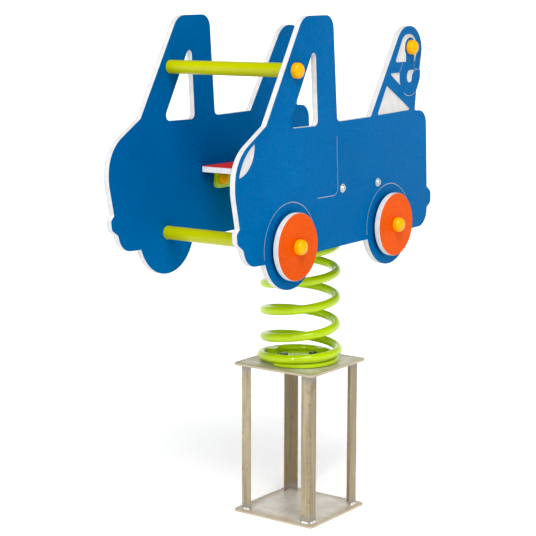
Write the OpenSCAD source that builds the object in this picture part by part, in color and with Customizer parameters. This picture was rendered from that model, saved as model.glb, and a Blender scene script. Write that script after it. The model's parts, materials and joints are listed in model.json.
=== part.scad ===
// Spring rocker in the shape of a small tow truck, with its ground anchor.
// +X is the front of the truck, +Y its left side, +Z up.
// The origin is the centre of the underside of the anchor's base plate.

/* [Side panels] */
// Thickness of each side panel
panel_t = 15; // [12:1:18]
// Clear distance between the two side panels
panel_gap = 358; // [340:1:400]
// Depth of the milled pockets that show the sheet's core
pocket_depth = 2.5; // [1:0.5:4]
// Width of the engraved lines
groove_w = 2; // [1:0.5:3]
// Depth of the engraved lines
groove_depth = 1.5; // [0.5:0.5:3]

/* [Wheels] */
// Radius of each play wheel
wheel_r = 80; // [70:1:85]
// Thickness of each play wheel
wheel_t = 15; // [12:1:18]
// Gap between a panel and its wheel, filled by the flange of the bush
wheel_gap = 7; // [5:1:12]
// Outer radius of the bush that a wheel turns on
bush_r = 8; // [7.5:0.5:9]
// Running clearance between bush and wheel, on the radius
bush_play = 0.1; // [0.05:0.01:0.2]

/* [Seat and bars] */
// Thickness of the seat board
seat_t = 15; // [12:1:18]
// Height of the seat board's underside
seat_z = 897; // [890:1:905]
// Outer radius of the handlebar and footrest tubes
tube_r = 16.85; // [15:0.05:20]
// Wall of the handlebar and footrest tubes
tube_wall = 2.6; // [2:0.1:4]
// Plate thickness of the frame under the seat
frame_t = 5; // [4:0.5:6]

/* [Spring] */
// Radius of the spring's wire
wire_r = 11; // [8:0.5:11]
// Radius of the coil, measured to the centre of the wire
coil_r = 93; // [90:1:95]
// Rise of the open coils for each turn
coil_pitch = 70; // [64:1:74]
// Half the thickness of the forged flat at each end of the wire
flat_r = 6; // [5:0.5:7]

/* [Ground anchor] */
// Side of the square anchor plates
anchor_w = 250; // [230:5:300]
// Thickness of the anchor plates
anchor_t = 6; // [5:1:10]
// Height of the anchor, from underside to top face
anchor_h = 400; // [380:1:420]
// Flange width of the angle legs
leg_w = 28; // [25:1:40]
// Thickness of the angle legs
leg_t = 3; // [3:0.5:5]

/* [Hidden] */

sheet_blue = [0.03, 0.33, 0.66];
core_white = [0.92, 0.92, 0.90];
orange = [0.95, 0.35, 0.12];
red = [0.86, 0.14, 0.12];
lime = [0.62, 0.78, 0.05];
yellow = [1.0, 0.74, 0.02];
zinc = [0.72, 0.73, 0.74];
steel = [0.60, 0.57, 0.52];

yi = panel_gap / 2;            // inner face of a panel
yo = yi + panel_t;             // outer face of a panel
wheel_pts = [[318, 758], [-115, 763]];
lobe_r = 103;
bar_pt = [302, 1164];
jib_pt = [-206, 1207];
frame_bolt_pts = [[101, 874], [-59, 874]];

// ---------- outlines: each corner is [x, z, corner radius] ----------
outline = [
  [-304, 739.5, 42], [-304.5, 786, 3], [-323, 798, 13], [-323, 827, 13], [-302.5, 841, 3],
  [-291, 1044, 37], [-234, 1044.5, 5], [-240, 1093, 3], [-258, 1128, 25], [-257.5, 1148, 2], [-254.5, 1152, 2],
  [-277, 1261, 60], [-166, 1261, 62], [-24, 1040, 5], [126, 1036.5, 14], [147.5, 1290, 32],
  [271, 1287.5, 45], [414, 1043, 8], [529.5, 974, 98], [529.5, 896, 120], [512.5, 819.5, 1.5],
  [523.5, 808, 6], [521, 785, 12], [500, 771, 6], [484, 728.5, 45], [424, 727, 0]];
window = [[220, 1227, 10], [207, 1031.5, 14], [329.5, 1032, 15]];
jib_top_pocket = [[-135.5, 1170.5, 4], [-174, 1240.5, 34], [-256, 1240.5, 37], [-231.5, 1171, 3]];
jib_small_pocket = [[-109, 1143.5, 3], [-170, 1144.5, 0], [-170, 1107, 0]];
jib_big_pocket = [[-96.5, 1114, 4], [-54, 1042, 4], [-215, 1048, 3]];
hook_c = [-207, 1135];

function unit(v) = v / norm(v);
function xy(p) = [p[0], p[1]];
function wrap(a) = a > 180 ? a - 360 : a < -180 ? a + 360 : a;
function arc(c, r, a0, d, n) = [for (k = [0:n]) c + r * [cos(a0 + d * k / n), sin(a0 + d * k / n)]];
// one rounded corner b between its neighbours a and c
function corner(a, b, c) = b[2] == 0 ? [xy(b)] :
  let (u = unit(xy(a) - xy(b)), v = unit(xy(c) - xy(b)), ang = acos(u * v),
       t = b[2] / tan(ang / 2), cen = xy(b) + unit(u + v) * b[2] / sin(ang / 2),
       p = xy(b) + u * t - cen, q = xy(b) + v * t - cen,
       a0 = atan2(p[1], p[0]), d = wrap(atan2(q[1], q[0]) - a0))
  arc(cen, b[2], a0, d, max(2, ceil(abs(d) / (b[2] > 50 ? 5 : b[2] > 20 ? 8 : 15))));
function rounded(P) = let (n = len(P)) [for (i = [0:n - 1]) each corner(P[(i + n - 1) % n], P[i], P[(i + 1) % n])];
// band of width w along an arc
function arc_band(c, r, w, a0, d, n) = concat(arc(c, r + w / 2, a0, d, n), arc(c, r - w / 2, a0 + d, -d, n));
// band of width w along a straight line
function line_band(a, b, w) = let (u = unit(b - a), s = [-u[1], u[0]] * w / 2) [a + s, b + s, b - s, a - s];

// an outline in the XZ plane, thick along -Y from y
module slab(y, t, pts) { translate([0, y, 0]) rotate([90, 0, 0]) linear_extrude(t) polygon(pts); }
module drill(p, y, t, r) { translate([p[0], y, p[1]]) rotate([90, 0, 0]) cylinder(r = r, h = t, $fn = 48); }
module cut(depth, pts) { slab(yo + 1, depth + 1, pts); }

// ---------- side panels ----------
module hook_shank() {
  slab(yo + 2, panel_t, [[-187, jib_pt[1]], [-226, jib_pt[1]], [-226, 1164], [-187, 1164]]);
  drill(jib_pt, yo + 2, panel_t, 25);
}
module panel_engraving() {
  // headlight, a lens shape
  intersection() {
    drill([526.4, 1001.1], yo + 1, pocket_depth + 1, 69);
    drill([409.7, 909.1], yo + 1, pocket_depth + 1, 108);
  }
  // pockets of the crane jib
  difference() { cut(pocket_depth, rounded(jib_top_pocket)); hook_shank(); }
  difference() { cut(pocket_depth, rounded(jib_small_pocket)); drill(hook_c, yo + 2, panel_t, 50); }
  cut(pocket_depth, rounded(jib_big_pocket));
  // eye of the hook
  cut(pocket_depth, rounded([[-192.5, 1133, 10], [-196, 1149, 12], [-228, 1150, 1], [-218, 1136, 12], [-215, 1118, 9], [-196, 1118, 10]]));
  // outline of the hook
  cut(groove_depth, arc_band(hook_c, 51, groove_w, 200, 104, 14));
  cut(groove_depth, arc_band([-240, 1134], 17, groove_w, 38, 92, 10));
  cut(groove_depth, line_band([-227, 1172], [-228, 1152], groove_w));
  cut(groove_depth, line_band([-172, 1169], [-157, 1145], groove_w));
  // wheel arches
  cut(groove_depth, arc_band(wheel_pts[0], lobe_r, groove_w, -12, 202, 40));
  cut(groove_depth, arc_band(wheel_pts[1], lobe_r, groove_w, -10, 203, 40));
  // door line
  cut(groove_depth, line_band([126, 1003], [120.4, 878], groove_w));
  cut(groove_depth, arc_band([138.4, 877.3], 18, groove_w, 177.6, 92.4, 8));
  cut(groove_depth, line_band([138.4, 859.3], [206, 859.3], groove_w));
}
module side_panel() {
  difference() {
    union() {
      slab(yo, panel_t, rounded(outline));
      for (p = wheel_pts) drill(p, yo, panel_t, lobe_r);
    }
    slab(yo + 1, panel_t + 2, rounded(window));
    panel_engraving();
    for (p = concat(wheel_pts, [bar_pt, jib_pt])) drill(p, yo + 1, panel_t + 2, 5.2);
    for (p = frame_bolt_pts) drill(p, yo + 1, panel_t + 2, 4.2);
  }
}
module left_side_panel() { color(sheet_blue) side_panel(); }
module right_side_panel() { color(sheet_blue) mirror([0, 1, 0]) side_panel(); }

// ---------- capped fasteners: z = 0 is the face they sit on, the head points to +z ----------
module hex_bolt(l, r = 5, seat = 2) {
  translate([0, 0, -l]) cylinder(r = r, h = l + seat, $fn = 32);
  translate([0, 0, seat]) cylinder(r = 9.8, h = 6.4, $fn = 6);
}
module button_bolt(l, r = 5, seat = 2) {
  difference() {
    union() {
      translate([0, 0, -l]) cylinder(r = r, h = l + seat, $fn = 32);
      translate([0, 0, seat]) rotate_extrude($fn = 48) polygon([[0, 0], [9.5, 0], [9.3, 1.4], [8, 3.3], [6, 4.6], [4.5, 5], [0, 5]]);
    }
    translate([0, 0, seat + 2]) cylinder(r = 3.4, h = 4, $fn = 6);
  }
}
module nut(r = 5, h = 8, w = 9.8) { difference() { cylinder(r = w, h = h, $fn = 6); translate([0, 0, -1]) cylinder(r = r + 0.05, h = h + 2, $fn = 32); } }
module washer(r = 5, w = 10.5, t = 2) { difference() { cylinder(r = w, h = t, $fn = 48); translate([0, 0, -1]) cylinder(r = r + 0.2, h = t + 2, $fn = 32); } }
module cap_seat(w = 16.3, r = 5.2, h = 3) {
  rotate_extrude($fn = 64) polygon([[r, 0], [w, 0], [w, h], [w - 2, h], [w - 2, 2], [r, 2]]);
}
function dome(w, z, h, n) = [for (k = [0:n]) [w * cos(90 * k / n), z + h * sin(90 * k / n)]];
module cap(w = 18.5, z = 8.5, h = 13, wall = 2.1) {
  rotate_extrude($fn = 64) polygon(concat([[w - wall, 0.3], [w, 0.3]], dome(w, z, h, 10),
    [for (k = [10:-1:0]) [(w - wall) * cos(9 * k), z + (h - wall) * sin(9 * k)]]));
}
// puts a fastener on the left panel and, mirrored, on the right one
module left(p, y) { translate([p[0], y, p[1]]) rotate([-90, 0, 0]) children(); }
module both(p, y) { left(p, y) children(); mirror([0, 1, 0]) left(p, y) children(); }
module inward(p, y) { left(p, y) mirror([0, 0, 1]) children(); mirror([0, 1, 0]) left(p, y) mirror([0, 0, 1]) children(); }

// ---------- bars ----------
module tube(p) {
  translate([p[0], yi, p[1]]) rotate([90, 0, 0]) difference() {
    cylinder(r = tube_r, h = panel_gap, $fn = 64);
    translate([0, 0, -1]) cylinder(r = tube_r - tube_wall, h = panel_gap + 2, $fn = 64);
  }
}
module handlebar_tube() { color(lime) tube(bar_pt); }
module footrest_tube() { color(lime) tube(wheel_pts[0]); }
module tube_end_plugs() {
  color(zinc) for (p = [bar_pt, wheel_pts[0]]) inward(p, yi) difference() {
    cylinder(r = tube_r - tube_wall - 0.05, h = 30, $fn = 64);
    translate([0, 0, -1]) cylinder(r = 5.05, h = 32, $fn = 32);
  }
}
module handlebar_bolts() { color(zinc) both(bar_pt, yo) hex_bolt(panel_t + 26); }
module handlebar_cap_seats() { color(yellow) both(bar_pt, yo) cap_seat(); }
module handlebar_caps() { color(yellow) both(bar_pt, yo) cap(); }

// ---------- wheels ----------
wheel_y = yo + wheel_gap + 0.5;                 // inner face of a wheel
seat_y = wheel_y + wheel_t + 0.5;               // face that the wheel's cap seat sits on
module wheel(p) {
  color(orange) translate([p[0], wheel_y + wheel_t, p[1]]) rotate([90, 0, 0]) difference() {
    cylinder(r = wheel_r, h = wheel_t, $fn = 96);
    translate([0, 0, -1]) cylinder(r = bush_r + bush_play, h = wheel_t + 2, $fn = 48);
  }
}
module front_left_wheel() { wheel(wheel_pts[0]); }
module front_right_wheel() { mirror([0, 1, 0]) wheel(wheel_pts[0]); }
module rear_left_wheel() { wheel(wheel_pts[1]); }
module rear_right_wheel() { mirror([0, 1, 0]) wheel(wheel_pts[1]); }
module wheel_bushes() {
  color(core_white) for (p = wheel_pts) both(p, yo)
    rotate_extrude($fn = 64) polygon([[5.2, 0], [20, 0], [20, wheel_gap], [bush_r, wheel_gap], [bush_r, seat_y - yo], [5.2, seat_y - yo]]);
}
module front_wheel_bolts() { color(zinc) both(wheel_pts[0], seat_y) hex_bolt(seat_y - yi + 26); }
module rear_wheel_bolts() { color(zinc) both(wheel_pts[1], seat_y) hex_bolt(seat_y - yi + 12); }
module rear_wheel_nuts() {
  color(zinc) inward(wheel_pts[1], yi) { washer(); translate([0, 0, 2]) nut(); }
}
module wheel_cap_seats() { color(yellow) for (p = wheel_pts) both(p, seat_y) cap_seat(); }
module wheel_caps() { color(yellow) for (p = wheel_pts) both(p, seat_y) cap(); }

// ---------- fasteners at the head of the jib ----------
module jib_bolts() { color(zinc) inward(jib_pt, yi) button_bolt(panel_t + 12); }
module jib_nuts() { color(zinc) { inward(jib_pt, yi) washer(); both(jib_pt, yo) translate([0, 0, 2]) nut(); } }
module jib_cap_seats() { color(yellow) both(jib_pt, yo) cap_seat(); }
module jib_caps() { color(yellow) both(jib_pt, yo) cap(); }

// ---------- seat and its frame ----------
frame_x = [-95, 132];
frame_low = 850;
module seat_frame() {
  web = seat_z - frame_t;
  color(lime) difference() {
    union() {
      translate([frame_x[0], -yi, web]) cube([frame_x[1] - frame_x[0], 2 * yi, frame_t]);
      for (s = [-1, 1]) slab(s > 0 ? yi : -yi + frame_t, frame_t,
        rounded([[frame_x[0], web + 1, 0], [frame_x[0], frame_low, 12], [frame_x[1], frame_low, 12], [frame_x[1], web + 1, 0]]));
    }
    for (p = frame_bolt_pts) translate([0, 0, 0]) drill(p, yi + 1, 2 * yi + 2, 4.2);
    for (x = [-75, 112], y = [-130, 130]) translate([x, y, web - 1]) cylinder(r = 3.3, h = frame_t + 2, $fn = 32);
  }
}
module frame_bolts() {
  color(zinc) for (p = frame_bolt_pts) both(p, yo + 1.8) {
    translate([0, 0, -(panel_t + frame_t + 1.8 + 10)]) cylinder(r = 4, h = panel_t + frame_t + 1.8 + 10, $fn = 32);
    difference() {
      cylinder(r1 = 8, r2 = 6, h = 4.4, $fn = 48);
      translate([0, 0, 1.6]) cylinder(r = 2.9, h = 4, $fn = 6);
    }
  }
}
module frame_bolt_washers() { color(zinc) for (p = frame_bolt_pts) both(p, yo) washer(r = 4, w = 11, t = 1.8); }
module frame_nuts() { color(zinc) for (p = frame_bolt_pts) inward(p, yi - frame_t - 2) nut(r = 4, h = 6.5, w = 7.5); }
module frame_nut_seats() { color(yellow) for (p = frame_bolt_pts) inward(p, yi - frame_t) cap_seat(w = 13.8, r = 4.2); }
module frame_nut_caps() { color(yellow) for (p = frame_bolt_pts) inward(p, yi - frame_t) cap(w = 16, z = 4, h = 9.5); }
module seat_board() {
  color(red) difference() {
    translate([0, 0, seat_z]) linear_extrude(seat_t) polygon(rounded([[-92, -yi + 1.5, 12], [188, -yi + 1.5, 10], [188, yi - 1.5, 10], [-92, yi - 1.5, 12]]));
    for (x = [-75, 112], y = [-130, 130]) translate([x, y, seat_z - 1]) cylinder(r = 3.05, h = 11.5, $fn = 32);
  }
}
module seat_screws() {
  color(zinc) for (x = [-75, 112], y = [-130, 130]) translate([x, y, seat_z - frame_t]) {
    cylinder(r = 3, h = frame_t + 10, $fn = 32);
    translate([0, 0, -4.5]) cylinder(r = 6.4, h = 4.5, $fn = 6);
  }
}

// ---------- spring ----------
// The wire is forged flat at its end and grows to full round over the first part of the turn that rests on the plate.
// The next turn is wound a little wider and sits on the first; then the coils open.
mid_z = (anchor_h + seat_z - frame_t) / 2;      // the spring is the same upside down about this height
open = coil_pitch / 360;                        // rise for each degree of the open turns
th_0 = -6;                                      // angle where the wire starts
th_flat = 240;                                  // the wire is full round from here on
climb = 0.115;                                  // rise for each degree where the wire climbs over its own end
closed = 0.075;                                 // rise for each degree of the closed turn
function ease(t, a, b) = let (u = max(0, min(1, (t - a) / (b - a)))) u * u * (3 - 2 * u);
// 0 before a, then bends up to a line of slope 1 after b
function knee(t, a, b) = t < a ? 0 : t < b ? (t - a) * (t - a) / (2 * (b - a)) : t - (a + b) / 2;
function half_low(t) = flat_r + (wire_r - flat_r) * ease(t, th_0, th_flat);
function rad_low(t) = coil_r - 1.5 + 8.5 * ease(t, 150, 300) - 7 * ease(t, 430, 630);
function z_low(t) = anchor_h + 0.3 + half_low(t) + climb * knee(t, 240, 275) - (climb - closed) * knee(t, 340, 370)
  + (open - closed) * knee(t, 470, 540);
z_open = z_low(600);
function open_angle(z) = 600 + (z - z_open) / open;
th_mid = open_angle(mid_z);
th_end = 2 * th_mid - th_0;
function low(t) = t <= th_mid ? t : 2 * th_mid - t;
function wire_z(t) = t <= th_mid ? z_low(t) : 2 * mid_z - z_low(low(t));
// the spring is one bent bar; it is cut at these heights so that each length can follow its own motion
cuts = [th_0, open_angle(530), open_angle(700), open_angle(790), th_end];
function on_wire(t) = rad_low(low(t)) * [cos(t), sin(t), 0] + [0, 0, wire_z(t)];
module coil(t0, t1) {
  n = round((t1 - t0) / 15);
  m = 12;
  rings = [for (i = [0:n]) let (t = t0 + (t1 - t0) * i / n,
      tn = unit(on_wire(t + 0.5) - on_wire(t - 0.5)), rd = unit([cos(t), sin(t), 0] - ([cos(t), sin(t), 0] * tn) * tn), up = cross(rd, tn))
    [for (j = [0:m - 1]) on_wire(t) + wire_r * rd * cos(360 * j / m) - half_low(low(t)) * up * sin(360 * j / m)]];
  polyhedron(points = [for (r = rings) each r],
    faces = concat([[for (j = [0:m - 1]) j]], [[for (j = [m - 1:-1:0]) n * m + j]],
      [for (i = [0:n - 1], j = [0:m - 1]) each [[i * m + j, (i + 1) * m + j, i * m + (j + 1) % m],
        [i * m + (j + 1) % m, (i + 1) * m + j, (i + 1) * m + (j + 1) % m]]]));
}
gap = 0.1;
module spring_foot_turns() { color(lime) coil(cuts[0], cuts[1] - gap); }
module spring_lower_turns() { color(lime) coil(cuts[1] + gap, cuts[2] - gap); }
module spring_middle_turns() { color(lime) coil(cuts[2] + gap, cuts[3] - gap); }
module spring_top_turns() { color(lime) coil(cuts[3] + gap, cuts[4]); }

// ---------- spring clamps ----------
claws = [46, 166, 286];                         // angles of the three claws
bolt_pcr = 44;
module clamp_disc() {
  difference() {
    union() {
      translate([0, 0, anchor_h]) cylinder(r = 79.5, h = 9, $fn = 96);
      for (a = claws) rotate([0, 0, a]) let (r = rad_low(a), nose = wire_z(a) + 0.85 * half_low(a) + 1) {
        translate([62, -14, anchor_h + 8]) cube([r - wire_r - 2.6 - 62, 28, nose + 3.5 - anchor_h - 8]);
        translate([62, -10, nose]) cube([r - 6.5 - 62, 20, 3.5]);
      }
    }
    for (a = claws) rotate([0, 0, a]) translate([bolt_pcr, 0, anchor_h - 1]) cylinder(r = 6.3, h = 12, $fn = 32);
    // shallow ring groove in the top face
    translate([0, 0, anchor_h + 7]) difference() { cylinder(r = 30, h = 3, $fn = 64); translate([0, 0, -1]) cylinder(r = 24, h = 5, $fn = 64); }
  }
}
module turn_over() { translate([0, 0, 2 * mid_z]) rotate([0, 0, 2 * th_mid]) mirror([0, 1, 0]) mirror([0, 0, 1]) children(); }
module lower_spring_clamp() { color(lime) clamp_disc(); }
module upper_spring_clamp() { color(lime) turn_over() clamp_disc(); }
module at_claws() { for (a = claws) rotate([0, 0, a]) translate([bolt_pcr, 0, anchor_h]) children(); }
module lower_clamp_bolts() {
  color(zinc) at_claws() {
    translate([0, 0, -(anchor_t + 14)]) cylinder(r = 6, h = anchor_t + 14 + 9, $fn = 32);
    translate([0, 0, 9]) cylinder(r = 10.9, h = 7.5, $fn = 6);
  }
}
module lower_clamp_nuts() {
  color(zinc) at_claws() translate([0, 0, -anchor_t - 12.5]) {
    nut(r = 6, h = 10, w = 10.9);
    translate([0, 0, 10]) washer(r = 6, w = 12, t = 2.5);
  }
}
module upper_clamp_studs() { color(zinc) turn_over() at_claws() cylinder(r = 6, h = 26, $fn = 32); }
module upper_clamp_nuts() {
  color(zinc) turn_over() at_claws() translate([0, 0, 9]) {
    washer(r = 6, w = 12, t = 2.5);
    translate([0, 0, 2.5]) nut(r = 6, h = 10, w = 10.9);
  }
}

// ---------- ground anchor ----------
leg_out = 108;                                  // outer corner of each leg, from the centre
module plate(z, holes = false) {
  h = anchor_w / 2;
  difference() {
    translate([0, 0, z]) linear_extrude(anchor_t) polygon(rounded([[-h, -h, 12], [h, -h, 12], [h, h, 12], [-h, h, 12]]));
    if (holes) at_claws() translate([0, 0, -anchor_t - 1]) cylinder(r = 6.5, h = anchor_t + 2, $fn = 32);
  }
}
module anchor_base_plate() { color(steel) plate(0); }
module anchor_top_plate() { color(steel) plate(anchor_h - anchor_t, true); }
leg_h = anchor_h - 2 * anchor_t;
module leg(sx, sy) {
  color(steel) translate([0, 0, anchor_t]) linear_extrude(leg_h) polygon([for (p =
    [[0, 0], [-leg_w, 0], [-leg_w, -leg_t], [-leg_t, -leg_t], [-leg_t, -leg_w], [0, -leg_w]]) [sx * (leg_out + p[0]), sy * (leg_out + p[1])]]);
}
module anchor_leg_front_left() { leg(1, 1); }
module anchor_leg_front_right() { leg(1, -1); }
module anchor_leg_rear_left() { leg(-1, 1); }
module anchor_leg_rear_right() { leg(-1, -1); }
// fillet welds along the outer faces of each leg, at both of its ends
module weld() { translate([0, leg_w - 3, 0]) rotate([90, 0, 0]) linear_extrude(leg_w - 6) polygon([[0, 0], [5, 0], [2, 2], [0, 5]]); }
module leg_welds() { for (m = [0, 1]) mirror([m, -m, 0]) translate([leg_out, leg_out - leg_w, 0]) weld(); }
module anchor_welds() {
  color(zinc) for (a = [0, 90, 180, 270]) rotate([0, 0, a]) {
    translate([0, 0, anchor_t]) leg_welds();
    translate([0, 0, anchor_h - anchor_t]) mirror([0, 0, 1]) leg_welds();
  }
}

anchor_base_plate();
anchor_top_plate();
anchor_leg_front_left();
anchor_leg_front_right();
anchor_leg_rear_left();
anchor_leg_rear_right();
anchor_welds();
lower_spring_clamp();
lower_clamp_bolts();
lower_clamp_nuts();
spring_foot_turns();
spring_lower_turns();
spring_middle_turns();
spring_top_turns();
upper_spring_clamp();
upper_clamp_studs();
upper_clamp_nuts();
seat_frame();
frame_bolts();
frame_bolt_washers();
frame_nuts();
frame_nut_seats();
frame_nut_caps();
seat_board();
seat_screws();
handlebar_tube();
footrest_tube();
tube_end_plugs();
handlebar_bolts();
handlebar_cap_seats();
handlebar_caps();
front_left_wheel();
front_right_wheel();
rear_left_wheel();
rear_right_wheel();
wheel_bushes();
front_wheel_bolts();
rear_wheel_bolts();
rear_wheel_nuts();
wheel_cap_seats();
wheel_caps();
jib_bolts();
jib_nuts();
jib_cap_seats();
jib_caps();
left_side_panel();
right_side_panel();
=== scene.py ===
import json
import math
import bpy
import bmesh
import numpy as np
from mathutils import Matrix, Vector


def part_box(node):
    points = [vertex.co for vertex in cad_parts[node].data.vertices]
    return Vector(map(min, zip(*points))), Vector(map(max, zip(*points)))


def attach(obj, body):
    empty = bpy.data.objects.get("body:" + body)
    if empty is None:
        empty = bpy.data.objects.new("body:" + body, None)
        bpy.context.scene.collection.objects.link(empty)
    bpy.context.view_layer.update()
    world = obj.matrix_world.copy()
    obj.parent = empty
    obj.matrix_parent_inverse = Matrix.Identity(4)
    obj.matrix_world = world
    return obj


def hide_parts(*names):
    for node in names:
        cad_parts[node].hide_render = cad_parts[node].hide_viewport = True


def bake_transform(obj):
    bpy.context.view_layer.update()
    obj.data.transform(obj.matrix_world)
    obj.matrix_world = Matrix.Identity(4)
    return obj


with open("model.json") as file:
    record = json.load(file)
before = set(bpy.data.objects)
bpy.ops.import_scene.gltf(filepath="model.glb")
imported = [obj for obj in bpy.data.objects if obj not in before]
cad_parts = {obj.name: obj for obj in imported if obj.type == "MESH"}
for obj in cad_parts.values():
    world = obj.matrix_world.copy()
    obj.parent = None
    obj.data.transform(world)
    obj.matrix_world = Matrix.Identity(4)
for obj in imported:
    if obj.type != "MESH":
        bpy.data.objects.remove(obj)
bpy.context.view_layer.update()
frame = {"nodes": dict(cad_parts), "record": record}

NODES = frame["nodes"]
scene = bpy.context.scene


def lin(r, g, b):
    """8-bit screen colour to the linear colour that a shader takes."""
    f = lambda c: c / 12.92 if c <= 0.04045 else ((c + 0.055) / 1.055) ** 2.4
    return (f(r / 255), f(g / 255), f(b / 255), 1.0)


# ------------------------------------------------------------------ camera
AZ, EL, ROLL = math.radians(126.212), math.radians(9.610), math.radians(0.108)
back = Vector((math.sin(AZ) * math.cos(EL), -math.cos(AZ) * math.cos(EL), math.sin(EL)))
right = Vector((0, 0, 1)).cross(back).normalized()
up = back.cross(right)
r2 = right * math.cos(ROLL) + up * math.sin(ROLL)
u2 = up * math.cos(ROLL) - right * math.sin(ROLL)
cam_data = bpy.data.cameras.new("view")
cam = bpy.data.objects.new("view", cam_data)
scene.collection.objects.link(cam)
m = Matrix((r2, u2, back)).transposed().to_4x4()
m.translation = Vector((3.224036, 2.257064, 1.309785))
cam.matrix_world = m
cam_data.sensor_width = 36.0
cam_data.lens = 1546.634 * 36.0 / 536
cam_data.clip_end = 120
scene.camera = cam

# ------------------------------------------------------------------ floor, world and lights
scene.view_settings.view_transform = "Standard"
# the picture's blacks are set a little low, as in a catalogue photo
scene.view_settings.use_curve_mapping = True
scene.view_settings.curve_mapping.black_level = (0.016, 0.016, 0.016)
scene.view_settings.curve_mapping.update()
world = bpy.data.worlds.new("studio")
scene.world = world
world.use_nodes = True
world.node_tree.nodes["Background"].inputs[0].default_value = (0.97, 0.985, 1, 1)
world.node_tree.nodes["Background"].inputs[1].default_value = 0.25

# a wide studio floor that sweeps up into a wall far away
prof = [(0.0, 0.0), (4.0, 0.0), (9.0, 0.0)] + [(9.0 + 7 * math.sin(math.radians(t)), 7 - 7 * math.cos(math.radians(t))) for t in range(6, 91, 6)]
nv, nf, K = [(0.0, 0.0, 0.0)], [], 96
for r, z in prof[1:]:
    nv += [(r * math.cos(2 * math.pi * k / K), r * math.sin(2 * math.pi * k / K), z) for k in range(K)]
nf += [(0, 1 + k, 1 + (k + 1) % K) for k in range(K)]
for i in range(len(prof) - 2):
    a0, a1 = 1 + i * K, 1 + (i + 1) * K
    nf += [(a0 + k, a1 + k, a1 + (k + 1) % K, a0 + (k + 1) % K) for k in range(K)]
me = bpy.data.meshes.new("floor")
me.from_pydata(nv, [], nf)
for p in me.polygons:
    p.use_smooth = True
floor = bpy.data.objects.new("floor", me)
scene.collection.objects.link(floor)


def aimed(o, loc, aim):
    o.location = loc
    o.rotation_euler = (Vector(aim) - Vector(loc)).to_track_quat("-Z", "Y").to_euler()


def area(name, loc, size, power, aim=(0.05, 0, 0.75)):
    d = bpy.data.lights.new(name, "AREA")
    d.shape = "RECTANGLE"
    d.size, d.size_y = size
    d.energy = power
    o = bpy.data.objects.new(name, d)
    scene.collection.objects.link(o)
    aimed(o, loc, aim)


sun = bpy.data.lights.new("soft_sun", "SUN")
sun.energy = 1.95
sun.angle = math.radians(38)
so = bpy.data.objects.new("soft_sun", sun)
scene.collection.objects.link(so)
aimed(so, (2.4, 2.2, 4.6), (0, 0, 0.6))
area("strip_left", (3.1, 0.7, 2.5), (0.22, 0.5), 22)
area("strip_top", (1.0, 1.4, 3.2), (1.2, 0.35), 12)


# ------------------------------------------------------------------ materials
def new_mat(name):
    mt = bpy.data.materials.new(name)
    mt.use_nodes = True
    nt = mt.node_tree
    nt.nodes.clear()
    out = nt.nodes.new("ShaderNodeOutputMaterial")
    bsdf = nt.nodes.new("ShaderNodeBsdfPrincipled")
    nt.links.new(bsdf.outputs[0], out.inputs[0])
    return mt, nt, bsdf


class G:
    """Small helper for node graphs."""

    def __init__(self, nt):
        self.nt = nt
        self.co = nt.nodes.new("ShaderNodeTexCoord").outputs["Object"]

    def link(self, a, b):
        self.nt.links.new(a, b)

    def put(self, sock, v):
        if isinstance(v, bpy.types.NodeSocket):
            self.link(v, sock)
        else:
            sock.default_value = v

    def noise(self, scale, detail=2.0, rough=0.5, dist=0.0, co=None, lac=2.0):
        n = self.nt.nodes.new("ShaderNodeTexNoise")
        self.link(co or self.co, n.inputs["Vector"])
        n.inputs["Scale"].default_value = scale
        n.inputs["Detail"].default_value = detail
        n.inputs["Roughness"].default_value = rough
        n.inputs["Distortion"].default_value = dist
        n.inputs["Lacunarity"].default_value = lac
        return n.outputs["Fac"]

    def voronoi(self, scale, feature="F1", co=None, smooth=None):
        n = self.nt.nodes.new("ShaderNodeTexVoronoi")
        n.feature = feature
        self.link(co or self.co, n.inputs["Vector"])
        n.inputs["Scale"].default_value = scale
        if smooth is not None and "Smoothness" in n.inputs:
            n.inputs["Smoothness"].default_value = smooth
        return n.outputs["Distance"]

    def stretch(self, sx, sy, sz):
        n = self.nt.nodes.new("ShaderNodeMapping")
        self.link(self.co, n.inputs["Vector"])
        n.inputs["Scale"].default_value = (sx, sy, sz)
        return n.outputs[0]

    def math(self, op, a, b=0.0, clamp=False):
        n = self.nt.nodes.new("ShaderNodeMath")
        n.operation = op
        n.use_clamp = clamp
        self.put(n.inputs[0], a)
        self.put(n.inputs[1], b)
        return n.outputs[0]

    def remap(self, v, a, b, c, d, smooth=False):
        n = self.nt.nodes.new("ShaderNodeMapRange")
        n.interpolation_type = "SMOOTHSTEP" if smooth else "LINEAR"
        self.put(n.inputs[0], v)
        for i, x in enumerate((a, b, c, d)):
            n.inputs[1 + i].default_value = x
        return n.outputs[0]

    def mix(self, fac, a, b, mode="MIX"):
        n = self.nt.nodes.new("ShaderNodeMix")
        n.data_type = "RGBA"
        n.blend_type = mode
        self.put(n.inputs[0], fac)
        self.put(n.inputs[6], a)
        self.put(n.inputs[7], b)
        return n.outputs[2]

    def xyz(self):
        n = self.nt.nodes.new("ShaderNodeSeparateXYZ")
        self.link(self.co, n.inputs[0])
        return n.outputs

    def bump(self, height, dist, strength=1.0, normal=None):
        n = self.nt.nodes.new("ShaderNodeBump")
        n.inputs["Strength"].default_value = strength
        n.inputs["Distance"].default_value = dist
        self.link(height, n.inputs["Height"])
        if normal is not None:
            self.link(normal, n.inputs["Normal"])
        return n.outputs[0]


SKIN = 0.0006  # thickness of the coloured skin on the sheet


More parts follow.
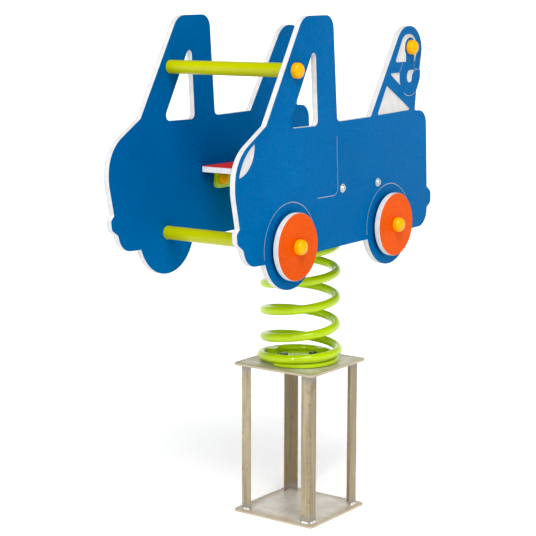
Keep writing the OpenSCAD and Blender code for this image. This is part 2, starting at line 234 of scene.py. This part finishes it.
def sheet_mat(name, skin_rgb, lo, hi, axis="Y", rough=0.40, white=1.0):
    """Two-colour polyethylene sheet: pebbled coloured skins at lo and hi along the axis, white core between."""
    mt, nt, b = new_mat(name)
    g = G(nt)
    p = g.xyz()["XYZ".index(axis)]
    a = g.math("ABSOLUTE", p) if axis == "Y" else p
    wob = g.math("MULTIPLY", g.math("SUBTRACT", g.noise(160, 2), 0.5), 0.0006)
    a2 = g.math("ADD", a, wob)
    mid = (lo + hi) / 2
    d = g.math("ABSOLUTE", g.math("SUBTRACT", a2, mid))
    skin = g.remap(d, (hi - lo) / 2 - SKIN - 0.00012, (hi - lo) / 2 - SKIN + 0.00012, 0, 1)
    # colour: slow drift over the sheet, and a fine pale speckle that is painted highlight on the pebbled skin
    drift = g.noise(3.2, 3, 0.6)
    painted_glint = g.noise(420, 3, 0.65)
    base = lin(*skin_rgb)
    dark = tuple(c * 0.86 for c in base[:3]) + (1,)
    lite = tuple(min(1, c * 1.10) for c in base[:3]) + (1,)
    c1 = g.mix(g.remap(drift, 0.3, 0.7, 0, 1), dark, lite)
    # painted highlight: pale speckle standing in for glints on the pebbles
    c2 = g.mix(g.remap(painted_glint, 0.35, 0.72, 0.0, 0.42), c1, tuple(min(1, c * 1.32) for c in base[:3]) + (1,))
    grain = g.noise(190, 3, 0.75)
    # painted shade: the skin is darkened where the grain bump is low, as shade in its hollows
    c2 = g.mix(g.remap(grain, 0.36, 0.62, 0.50, 0.0), c2, tuple(c * 0.62 for c in base[:3]) + (1,))
    # fine rubs from handling: sparse, stretched streaks
    rub = g.noise(30, 6, 0.7, 0.4, co=g.stretch(1.0, 1.0, 3.2))
    streak = g.noise(700, 2, 0.6, 0.2, co=g.stretch(0.08, 1.0, 1.0))
    rubm = g.math("MULTIPLY", g.remap(rub, 0.60, 0.74, 0, 1), g.remap(streak, 0.58, 0.70, 0, 1))
    c3 = g.mix(g.math("MULTIPLY", rubm, 0.12), c2, lin(170, 195, 220))
    # white core with faint router marks along the cut; a white above 1 paints the core brighter as painted light
    core = g.mix(g.remap(g.noise(55, 4, 0.6), 0.3, 0.7, 0, 1), lin(205 * white, 204 * white, 202 * white), lin(220 * white, 220 * white, 219 * white))
    core = g.mix(g.remap(g.noise(900, 2, 0.5, co=g.stretch(1, 0.12, 1)), 0.5, 0.8, 0, 0.25), core, lin(196, 190, 184))
    g.link(g.mix(skin, core, c3), b.inputs["Base Color"])
    rr = g.math("ADD", g.remap(g.noise(240, 3), 0.3, 0.7, rough - 0.05, rough + 0.07), g.math("MULTIPLY", rubm, 0.15))
    rmix = nt.nodes.new("ShaderNodeMix")
    g.put(rmix.inputs[0], skin)
    rmix.inputs[2].default_value = 0.55
    g.link(rr, rmix.inputs[3])
    g.link(rmix.outputs[0], b.inputs["Roughness"])
    b.inputs["Specular IOR Level"].default_value = 0.07
    # pebbled skin: rounded cells about 1.6 mm across, plus finer grain; the core is nearly smooth
    peb = g.voronoi(560, "SMOOTH_F1", smooth=0.6)
    fine = g.noise(1500, 2, 0.5)
    h = g.math("ADD", g.math("MULTIPLY", peb, -0.8), g.math("MULTIPLY", fine, 0.35))
    h = g.math("MULTIPLY", h, g.remap(skin, 0, 1, 0.12, 1.0))
    wave = g.noise(14, 2, 0.5)
    n0 = g.bump(wave, 0.0012, 0.5)
    g.link(g.bump(g.math("ADD", h, g.math("MULTIPLY", grain, 1.6)), 0.00032, 1.0, n0), b.inputs["Normal"])
    return mt


def paint_mat(name, rgb, rough=0.34, coat=0.55, peel=0.00012, specks=True):
    """Glossy powder coat with orange peel, slight pooling in tone and a few dust nibs."""
    mt, nt, b = new_mat(name)
    g = G(nt)
    base = lin(*rgb)
    drift = g.noise(9, 3, 0.6)
    c = g.mix(g.remap(drift, 0.3, 0.7, 0, 1), tuple(x * 0.90 for x in base[:3]) + (1,), tuple(min(1, x * 1.07) for x in base[:3]) + (1,))
    fine = g.noise(300, 3, 0.6)
    c = g.mix(g.remap(fine, 0.4, 0.75, 0, 0.22), c, tuple(x * 0.78 for x in base[:3]) + (1,))
    # small rubbed spots, paler
    sp = g.noise(62, 5, 0.72, 0.3)
    c = g.mix(g.remap(sp, 0.66, 0.74, 0, 0.35), c, tuple(min(1, x * 1.15 + 0.02) for x in base[:3]) + (1,))
    g.link(c, b.inputs["Base Color"])
    g.link(g.math("ADD", g.remap(g.noise(45, 4, 0.6), 0.3, 0.75, rough - 0.05, rough + 0.10), g.remap(sp, 0.62, 0.74, 0, 0.15)), b.inputs["Roughness"])
    b.inputs["Specular IOR Level"].default_value = 0.22
    b.inputs["Coat Weight"].default_value = coat
    b.inputs["Coat IOR"].default_value = 1.6
    b.inputs["Coat Roughness"].default_value = 0.08
    peeln = g.noise(230, 2, 0.5)
    n1 = g.bump(peeln, peel * 4, 0.45)
    if specks:
        nib = g.remap(g.voronoi(95), 0.0, 0.10, 1, 0, smooth=True)
        n1 = g.bump(nib, 0.0003, 0.35, n1)
    g.link(n1, b.inputs["Normal"])
    return mt


def plastic_mat(name, rgb, rough=0.24):
    """Moulded nylon: glossy with faint flow marks and a fine satin grain."""
    mt, nt, b = new_mat(name)
    g = G(nt)
    base = lin(*rgb)
    c = g.mix(g.remap(g.noise(40, 3, 0.6, 0.6), 0.3, 0.7, 0, 1), tuple(x * 0.93 for x in base[:3]) + (1,), tuple(min(1, x * 1.05) for x in base[:3]) + (1,))
    c = g.mix(g.remap(g.noise(800, 2), 0.45, 0.75, 0, 0.25), c, tuple(min(1, x * 1.1) for x in base[:3]) + (1,))
    g.link(c, b.inputs["Base Color"])
    g.link(g.remap(g.noise(150, 4, 0.6), 0.3, 0.75, rough - 0.05, rough + 0.12), b.inputs["Roughness"])
    b.inputs["Specular IOR Level"].default_value = 0.30
    b.inputs["Subsurface Weight"].default_value = 0.08
    b.inputs["Subsurface Radius"].default_value = (0.004, 0.0025, 0.0008)
    b.inputs["Subsurface Scale"].default_value = 1.0
    n0 = g.bump(g.noise(60, 2), 0.0006, 0.35)
    g.link(g.bump(g.noise(1400, 2), 0.0001, 0.5, n0), b.inputs["Normal"])
    return mt


def zinc_mat(name="zinc_plate", tone=1.0):
    """Zinc plating: bluish grey, brushed and slightly mottled. A tone below 1 makes it darker."""
    mt, nt, b = new_mat(name)
    g = G(nt)
    c = g.mix(g.remap(g.noise(120, 4, 0.6), 0.3, 0.7, 0, 1), lin(178 * tone, 182 * tone, 188 * tone), lin(222 * tone, 222 * tone, 220 * tone))
    c = g.mix(g.remap(g.noise(420, 3, 0.7), 0.55, 0.75, 0, 0.5), c, lin(140, 138, 134))
    g.link(c, b.inputs["Base Color"])
    b.inputs["Metallic"].default_value = 0.85
    g.link(g.remap(g.noise(260, 3), 0.3, 0.7, 0.26, 0.46), b.inputs["Roughness"])
    g.link(g.bump(g.noise(900, 2, co=g.stretch(1, 1, 0.2)), 0.00008, 0.6), b.inputs["Normal"])
    return mt


def steel_mat(name="anchor_steel", along="Z"):
    """Hot-rolled steel under a thin yellowish zinc passivation: cream-grey, streaked along its length, with
    darker scale specks, faint rust bloom and bluish heat marks near the welds."""
    mt, nt, b = new_mat(name)
    g = G(nt)
    st = g.stretch(14, 14, 1.2) if along == "Z" else g.stretch(6, 6, 6)
    streak = g.noise(3.0, 6, 0.65, 0.3, co=st)
    c = g.mix(g.remap(streak, 0.3, 0.7, 0, 1), lin(146, 131, 102), lin(192, 178, 147))
    big = g.noise(6.5, 4, 0.6)
    c = g.mix(g.remap(big, 0.42, 0.72, 0, 0.45), c, lin(176, 166, 150))
    spots = g.noise(75, 5, 0.75, 0.4)
    c = g.mix(g.remap(spots, 0.60, 0.70, 0, 0.75), c, lin(104, 88, 64))
    rust = g.noise(17, 6, 0.72, 0.8)
    c = g.mix(g.remap(rust, 0.58, 0.74, 0, 0.55), c, lin(140, 102, 62))
    drip = g.noise(5.0, 5, 0.6, 0.2, co=g.stretch(42, 42, 0.9))
    c = g.mix(g.remap(drip, 0.50, 0.66, 0, 0.50), c, lin(120, 104, 78))
    x, y, z = g.xyz()
    if along == "Z":
        # painted shade: the inside faces of the angles are darkened as shade in each angle's hollow, and the outer
        # faces that face along y are darkened as the side the light reaches less
        ax, ay = g.math("ABSOLUTE", x), g.math("ABSOLUTE", y)
        inside_shade = g.math("MULTIPLY", g.remap(ax, LEG_IN, LEG_IN + 0.0006, 1, 0), g.remap(ay, LEG_IN, LEG_IN + 0.0006, 1, 0))
        c = g.mix(g.math("MULTIPLY", inside_shade, 0.5), c, lin(118, 101, 74))
        # painted shade on the outer faces that face along y
        c = g.mix(g.math("MULTIPLY", g.remap(ay, LEG_IN + 0.0025, LEG_IN + 0.003, 0, 1), 0.42), c, lin(128, 113, 86))
        cx = g.math("MULTIPLY", g.remap(ax, LEG_IN - 0.006, LEG_IN + 0.003, 0, 1, smooth=True), g.remap(ay, LEG_IN - 0.006, LEG_IN + 0.003, 0, 1, smooth=True))
        c = g.mix(g.math("MULTIPLY", cx, g.remap(g.noise(55, 4, 0.7), 0.48, 0.66, 0, 0.60)), c, lin(108, 84, 56))
    # heat marks: within about 25 mm of either plate
    near = g.math("MINIMUM", g.math("ABSOLUTE", g.math("SUBTRACT", z, 0.006)), g.math("ABSOLUTE", g.math("SUBTRACT", z, 0.393)))
    near = g.math("ADD", near, g.math("MULTIPLY", g.math("SUBTRACT", g.noise(40, 3), 0.5), 0.03))
    heat = g.remap(near, 0.004, 0.030, 1, 0, smooth=True)
    if along == "Z":
        c = g.mix(g.math("MULTIPLY", heat, 0.6), c, lin(152, 148, 150))
    g.link(c, b.inputs["Base Color"])
    b.inputs["Metallic"].default_value = 0.25
    g.link(g.remap(g.noise(70, 4, 0.65), 0.3, 0.7, 0.40, 0.62), b.inputs["Roughness"])
    h = g.math("ADD", g.math("MULTIPLY", spots, 0.7), g.math("MULTIPLY", g.noise(500, 3, 0.6), 0.4))
    g.link(g.bump(h, 0.0004, 0.45), b.inputs["Normal"])
    return mt


def plate_mat(name="anchor_plate"):
    """The same steel on the flat plates: greyer, cloudy, with rolled grain and worn, browner rims."""
    mt, nt, b = new_mat(name)
    g = G(nt)
    x, y, z = g.xyz()
    cl = g.noise(9, 5, 0.6, 0.5)
    c = g.mix(g.remap(cl, 0.3, 0.7, 0, 1), lin(206, 199, 186), lin(235, 230, 221))
    grain = g.noise(8, 5, 0.7, co=g.stretch(3, 30, 3))
    c = g.mix(g.remap(grain, 0.45, 0.75, 0, 0.30), c, lin(150, 138, 118))
    rim = g.math("MAXIMUM", g.math("ABSOLUTE", x), g.math("ABSOLUTE", y))
    rimm = g.remap(g.math("ADD", rim, g.math("MULTIPLY", g.math("SUBTRACT", g.noise(28, 4), 0.5), 0.04)), 0.085, 0.125, 0, 0.75, smooth=True)
    c = g.mix(rimm, c, lin(180, 164, 132))
    spots = g.noise(60, 5, 0.75, 0.4)
    c = g.mix(g.remap(spots, 0.60, 0.74, 0, 0.5), c, lin(116, 100, 78))
    g.link(c, b.inputs["Base Color"])
    b.inputs["Metallic"].default_value = 0.30
    g.link(g.remap(g.noise(50, 4, 0.65), 0.3, 0.7, 0.34, 0.58), b.inputs["Roughness"])
    g.link(g.bump(g.math("ADD", g.math("MULTIPLY", spots, 0.6), g.math("MULTIPLY", g.noise(420, 3), 0.35)), 0.0004, 0.4), b.inputs["Normal"])
    return mt


def weld_mat():
    mt, nt, b = new_mat("weld_metal")
    g = G(nt)
    c = g.mix(g.remap(g.noise(150, 4, 0.6), 0.3, 0.7, 0, 1), lin(206, 205, 204), lin(248, 248, 246))
    c = g.mix(g.remap(g.noise(320, 3, 0.7), 0.60, 0.75, 0, 0.6), c, lin(120, 112, 104))
    g.link(c, b.inputs["Base Color"])
    b.inputs["Metallic"].default_value = 0.55
    g.link(g.remap(g.noise(300, 3), 0.3, 0.7, 0.28, 0.5), b.inputs["Roughness"])
    g.link(g.bump(g.noise(700, 3), 0.0003, 0.6), b.inputs["Normal"])
    return mt


def floor_mat():
    mt, nt, b = new_mat("floor_pale")
    g = G(nt)
    g.link(g.mix(g.remap(g.noise(1.1, 3), 0.3, 0.7, 0, 1), lin(243, 243, 243), lin(247, 247, 247)), b.inputs["Base Color"])
    b.inputs["Roughness"].default_value = 0.9
    b.inputs["Specular IOR Level"].default_value = 0.1
    b.inputs["Emission Color"].default_value = (1, 1, 1, 1)
    b.inputs["Emission Strength"].default_value = 0.34
    return mt


floor.data.materials.append(floor_mat())

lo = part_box("left_side_panel")[0]
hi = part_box("left_side_panel")[1]
YI, YO = lo[1], hi[1]
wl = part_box("front_left_wheel")
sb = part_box("seat_board")
M_BLUE = sheet_mat("sheet_blue", (2, 100, 162), YI, YO)
M_ORANGE = sheet_mat("sheet_orange", (232, 88, 22), wl[0][1], wl[1][1])
# painted light: the seat's core is made brighter (white=1.14) to offset the shade on its cut edge
M_RED = sheet_mat("sheet_red", (240, 64, 44), sb[0][2], sb[1][2], axis="Z", white=1.14)
M_LIME = paint_mat("powder_lime", (183, 214, 0))
M_BAR = paint_mat("powder_lime_bars", (182, 187, 0), coat=0.38)
M_YELLOW = plastic_mat("cap_yellow", (246, 170, 0))
M_BUSH = plastic_mat("bush_white", (236, 236, 232), 0.4)
M_ZINC = zinc_mat()
# a darker zinc for the lower clamp bolts and nuts
M_DARK_ZINC = zinc_mat("zinc_darker", 0.55)
leg0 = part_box("anchor_leg_front_left")
LEG_IN = leg0[1][0] - 0.003
M_STEEL = steel_mat()
M_PLATE = plate_mat()
M_WELD = weld_mat()
BY_SLOT = {"anchor_steel": M_STEEL, "weld": M_WELD, "powder_lime": M_LIME, "zinc": M_ZINC, "cap_yellow": M_YELLOW,
           "sheet_red": M_RED, "sheet_orange": M_ORANGE, "bush_white": M_BUSH, "sheet_blue": M_BLUE}
SLOT = {sp["node"]: sp["material_slot"] for sp in frame["record"]["subparts"]}
BODY = {n: b for b, ns in frame["record"]["behaviour"]["bodies"].items() for n in ns}


# ------------------------------------------------------------------ mesh helpers
def add_object(name, me, mat, body=None, node=None):
    ob = bpy.data.objects.new(name, me)
    scene.collection.objects.link(ob)
    me.materials.clear()
    me.materials.append(mat)
    if node is not None:
        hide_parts(node)
    if body is not None:
        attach(ob, body)
    return ob


def sharpen(me, deg=32):
    for p in me.polygons:
        p.use_smooth = True
    me.set_sharp_from_angle(angle=math.radians(deg))


def refine(node, width, mat=None, rule=None, seg=3, deg=32, min_angle=38):
    """A clean copy of a CAD node with its convex edges rounded, as the real piece's are. rule gives an edge's share of width."""
    me = bpy.data.meshes.new(node + "_skin")
    bm = bmesh.new()
    bm.from_mesh(NODES[node].data)
    bmesh.ops.remove_doubles(bm, verts=bm.verts, dist=3e-6)
    bmesh.ops.dissolve_limit(bm, angle_limit=math.radians(0.7), use_dissolve_boundaries=False, verts=bm.verts, edges=bm.edges)
    bmesh.ops.recalc_face_normals(bm, faces=bm.faces)
    lay = bm.edges.layers.float.new("bevel_weight_edge")
    for e in bm.edges:
        if len(e.link_faces) != 2:
            continue
        if e.calc_face_angle(0) > math.radians(min_angle) and e.is_convex:
            e[lay] = 1.0 if rule is None else rule(e)
    bm.to_mesh(me)
    bm.free()
    ob = add_object(node + "_skin", me, mat or BY_SLOT[SLOT[node]], BODY[node], node)
    sharpen(me, deg)
    mod = ob.modifiers.new("round", "BEVEL")
    mod.limit_method = "WEIGHT"
    mod.width = width
    mod.segments = seg
    mod.use_clamp_overlap = True
    mod.harden_normals = False
    mod.miter_outer = "MITER_ARC"
    wn = ob.modifiers.new("normals", "WEIGHTED_NORMAL")
    wn.keep_sharp = True
    return ob


def panel_rule(e):
    ys = [v.co.y for v in e.verts]
    if abs(ys[0] - ys[1]) > 1e-5:
        return 0.0
    y = abs(ys[0])
    if min(abs(y - YI), abs(y - YO)) > 1e-4:
        return 0.0
    span = 0
    for f in e.link_faces:
        if abs(f.normal.y) < 0.5:
            fy = [abs(v.co.y) for v in f.verts]
            span = max(fy) - min(fy)
    return 1.0 if span > 0.010 else 0.16 if span > 0.002 else 0.10


for n in ("left_side_panel", "right_side_panel"):
    refine(n, 0.0022, rule=panel_rule)
for n, w in (("seat_board", 0.0022), ("seat_frame", 0.0012), ("anchor_base_plate", 0.0010), ("anchor_top_plate", 0.0010),
             ("anchor_leg_front_left", 0.0008), ("anchor_leg_front_right", 0.0008), ("anchor_leg_rear_left", 0.0008), ("anchor_leg_rear_right", 0.0008),
             ("lower_spring_clamp", 0.0012), ("upper_spring_clamp", 0.0012)):
    refine(n, w, mat=M_PLATE if "plate" in n else None)
for n in ("front_left_wheel", "front_right_wheel", "rear_left_wheel", "rear_right_wheel"):
    refine(n, 0.0020)
for n in ("frame_bolts", "frame_bolt_washers", "frame_nuts", "lower_clamp_bolts", "lower_clamp_nuts", "upper_clamp_nuts", "upper_clamp_studs",
          "jib_nuts", "jib_bolts", "rear_wheel_nuts", "rear_wheel_bolts", "front_wheel_bolts", "handlebar_bolts", "seat_screws"):
    refine(n, 0.0005, seg=2, mat=M_DARK_ZINC if n.startswith("lower_clamp") else None)
for n in ("frame_nut_seats", "handlebar_cap_seats", "wheel_cap_seats", "jib_cap_seats", "frame_nut_caps", "handlebar_caps", "wheel_caps", "jib_caps"):
    refine(n, 0.0004, seg=2, deg=40, min_angle=45)
# ------------------------------------------------------------------ spring: one bent bar in four lengths that meet end to end
PANEL_T = YO - YI
top_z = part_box("anchor_top_plate")[1][2]
web_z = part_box("seat_board")[0][2] - 0.005
WIRE, FLAT, COIL = 0.011, 0.006, 0.093
MID, OPEN = (top_z + web_z) / 2, 0.070 / 360
TH0, CLIMB, CLOSED = -6.0, 0.000115, 0.000075


def ease(t, a, b):
    u = max(0.0, min(1.0, (t - a) / (b - a)))
    return u * u * (3 - 2 * u)


def knee(t, a, b):
    return 0.0 if t < a else (t - a) ** 2 / (2 * (b - a)) if t < b else t - (a + b) / 2


def half_low(t):
    return FLAT + (WIRE - FLAT) * ease(t, TH0, 240)


def rad_low(t):
    return COIL - 0.0015 + 0.0085 * ease(t, 150, 300) - 0.007 * ease(t, 430, 630)


def z_low(t):
    return top_z + 0.0003 + half_low(t) + CLIMB * knee(t, 240, 275) - (CLIMB - CLOSED) * knee(t, 340, 370) + (OPEN - CLOSED) * knee(t, 470, 540)


def open_angle(z):
    return 600 + (z - z_low(600)) / OPEN


TH_MID = open_angle(MID)
TH_END = 2 * TH_MID - TH0


def low(t):
    return t if t <= TH_MID else 2 * TH_MID - t


def on_wire(t):
    r = rad_low(low(t))
    z = z_low(t) if t <= TH_MID else 2 * MID - z_low(low(t))
    return Vector((r * math.cos(math.radians(t)), r * math.sin(math.radians(t)), z))


def spring_piece(node, t0, t1):
    step, M = 4.0, 28
    n = int(round((t1 - t0) / step))
    ts = [t0 + (t1 - t0) * i / n for i in range(n + 1)]
    shrink = [1.0] * len(ts)
    # the sawn ends of the bar have a small chamfer
    if t0 <= TH0 + 1e-6:
        ts = [t0, t0 + 0.25, t0 + 0.6] + ts[1:]
        shrink = [0.86, 0.96, 1.0] + shrink[1:]
    if t1 >= TH_END - 1e-6:
        ts = ts[:-1] + [t1 - 0.6, t1 - 0.25, t1]
        shrink = shrink[:-1] + [1.0, 0.96, 0.86]
    vs, fs = [], []
    for t, k in zip(ts, shrink):
        tn = (on_wire(t + 0.5) - on_wire(t - 0.5)).normalized()
        out = Vector((math.cos(math.radians(t)), math.sin(math.radians(t)), 0))
        rd = (out - out.dot(tn) * tn).normalized()
        up_ = rd.cross(tn)
        h = half_low(low(t))
        for j in range(M):
            w = 2 * math.pi * j / M
            cw, sw = math.cos(w), math.sin(w)
            # the forged flat has squarer shoulders than an ellipse
            q = 1.0 + 0.16 * (1 - (h - FLAT) / (WIRE - FLAT)) * (abs(2 * sw * cw)) ** 1.5
            q = min(q, 1.0 / max(abs(cw), abs(sw)))
            vs.append(on_wire(t) + k * q * (WIRE * rd * cw - h * up_ * sw))
    for i in range(len(ts) - 1):
        for j in range(M):
            k = (j + 1) % M
            fs.append((i * M + j, i * M + k, (i + 1) * M + k, (i + 1) * M + j))
    if t0 <= TH0 + 1e-6:
        fs.append(tuple(range(M)))
    if t1 >= TH_END - 1e-6:
        fs.append(tuple((len(ts) - 1) * M + j for j in range(M - 1, -1, -1)))
    me = bpy.data.meshes.new(node + "_skin")
    me.from_pydata([tuple(v) for v in vs], [], fs)
    bm = bmesh.new()
    bm.from_mesh(me)
    bmesh.ops.recalc_face_normals(bm, faces=[f for f in bm.faces])
    bm.to_mesh(me)
    bm.free()
    # open tubes can come out facing inwards: turn them by the first side face
    f0 = me.polygons[len(me.polygons) // 2]
    c = f0.center
    ang = math.degrees(math.atan2(c.y, c.x))
    best = min((abs((on_wire(t) - c).length), t) for t in np.arange(t0, t1, 1.0))[1]
    if (c - on_wire(best)).dot(f0.normal) < 0:
        me.flip_normals()
    ob = add_object(node + "_skin", me, M_LIME, None, node)
    sharpen(me, 50)
    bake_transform(ob)
    return ob


CUTS = [TH0, open_angle(0.530), open_angle(0.700), open_angle(0.790), TH_END]
spring_piece("spring_foot_turns", CUTS[0], CUTS[1])
spring_piece("spring_lower_turns", CUTS[1], CUTS[2])
spring_piece("spring_middle_turns", CUTS[2], CUTS[3])
spring_piece("spring_top_turns", CUTS[3], CUTS[4])

# ------------------------------------------------------------------ welds: rippled beads in place of the plain fillets
rng = np.random.default_rng(7)
wv, wf = [], []
base_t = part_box("anchor_base_plate")[1][2]
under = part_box("anchor_top_plate")[0][2]
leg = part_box("anchor_leg_front_left")
LEG_OUT, LEG_W = leg[1][0], leg[1][0] - leg[0][0]


def bead(p, q, n1, n2):
    """A bead from p to q in the corner between the face that n1 points away from and the one that n2 does."""
    p, q, n1, n2 = map(Vector, (p, q, n1, n2))
    steps, arcs = 40, 8
    ph, base = rng.uniform(0, 6.28), len(wv)
    amp = rng.normal(0, 1, steps + 1)
    amp = np.convolve(np.pad(amp, 3, "edge"), np.ones(7) / 7, "valid")
    for i in range(steps + 1):
        u = i / steps
        rip = 0.5 + 0.5 * math.sin(ph + u * 46)
        r = 0.0039 + 0.0008 * rip + 0.0008 * float(amp[i])
        r *= min(1.0, 0.35 + 6 * min(u, 1 - u))
        r = max(0.0012, min(0.0049, r))
        c = p.lerp(q, u)
        for j in range(arcs + 1):
            w = math.pi / 2 * j / arcs
            k = 0.80 + 0.20 * abs(math.cos(2 * w))
            wv.append(tuple(c + r * k * (n1 * math.cos(w) + n2 * math.sin(w)) + (0.0002 * float(rng.normal()) * math.sin(2 * w)) * n1))
        wv.append(tuple(c - 0.0004 * n1 - 0.0004 * n2))
    A = arcs + 2
    for i in range(steps):
        for j in range(A):
            k = (j + 1) % A
            wf.append((base + i * A + j, base + i * A + k, base + (i + 1) * A + k, base + (i + 1) * A + j))
    wf.append(tuple(base + j for j in range(A)))
    wf.append(tuple(base + steps * A + j for j in range(A - 1, -1, -1)))


for sx in (1, -1):
    for sy in (1, -1):
        for z, nz in ((base_t, 1), (under, -1)):
            o, w = LEG_OUT, LEG_W
            bead((sx * o, sy * (o - w + 0.0032), z), (sx * o, sy * (o - 0.0032), z), (sx, 0, 0), (0, 0, nz))
            bead((sx * (o - w + 0.0032), sy * o, z), (sx * (o - 0.0032), sy * o, z), (0, sy, 0), (0, 0, nz))
me = bpy.data.meshes.new("weld_beads")
me.from_pydata(wv, [], wf)
bm = bmesh.new()
bm.from_mesh(me)
bmesh.ops.recalc_face_normals(bm, faces=bm.faces)
bm.to_mesh(me)
bm.free()
add_object("weld_beads", me, M_WELD, "root", "anchor_welds")
sharpen(me, 60)

for n in ("handlebar_tube", "footrest_tube", "tube_end_plugs", "wheel_bushes"):
    refine(n, 0.0004, seg=2, mat=M_BAR if n.endswith("_tube") else None)
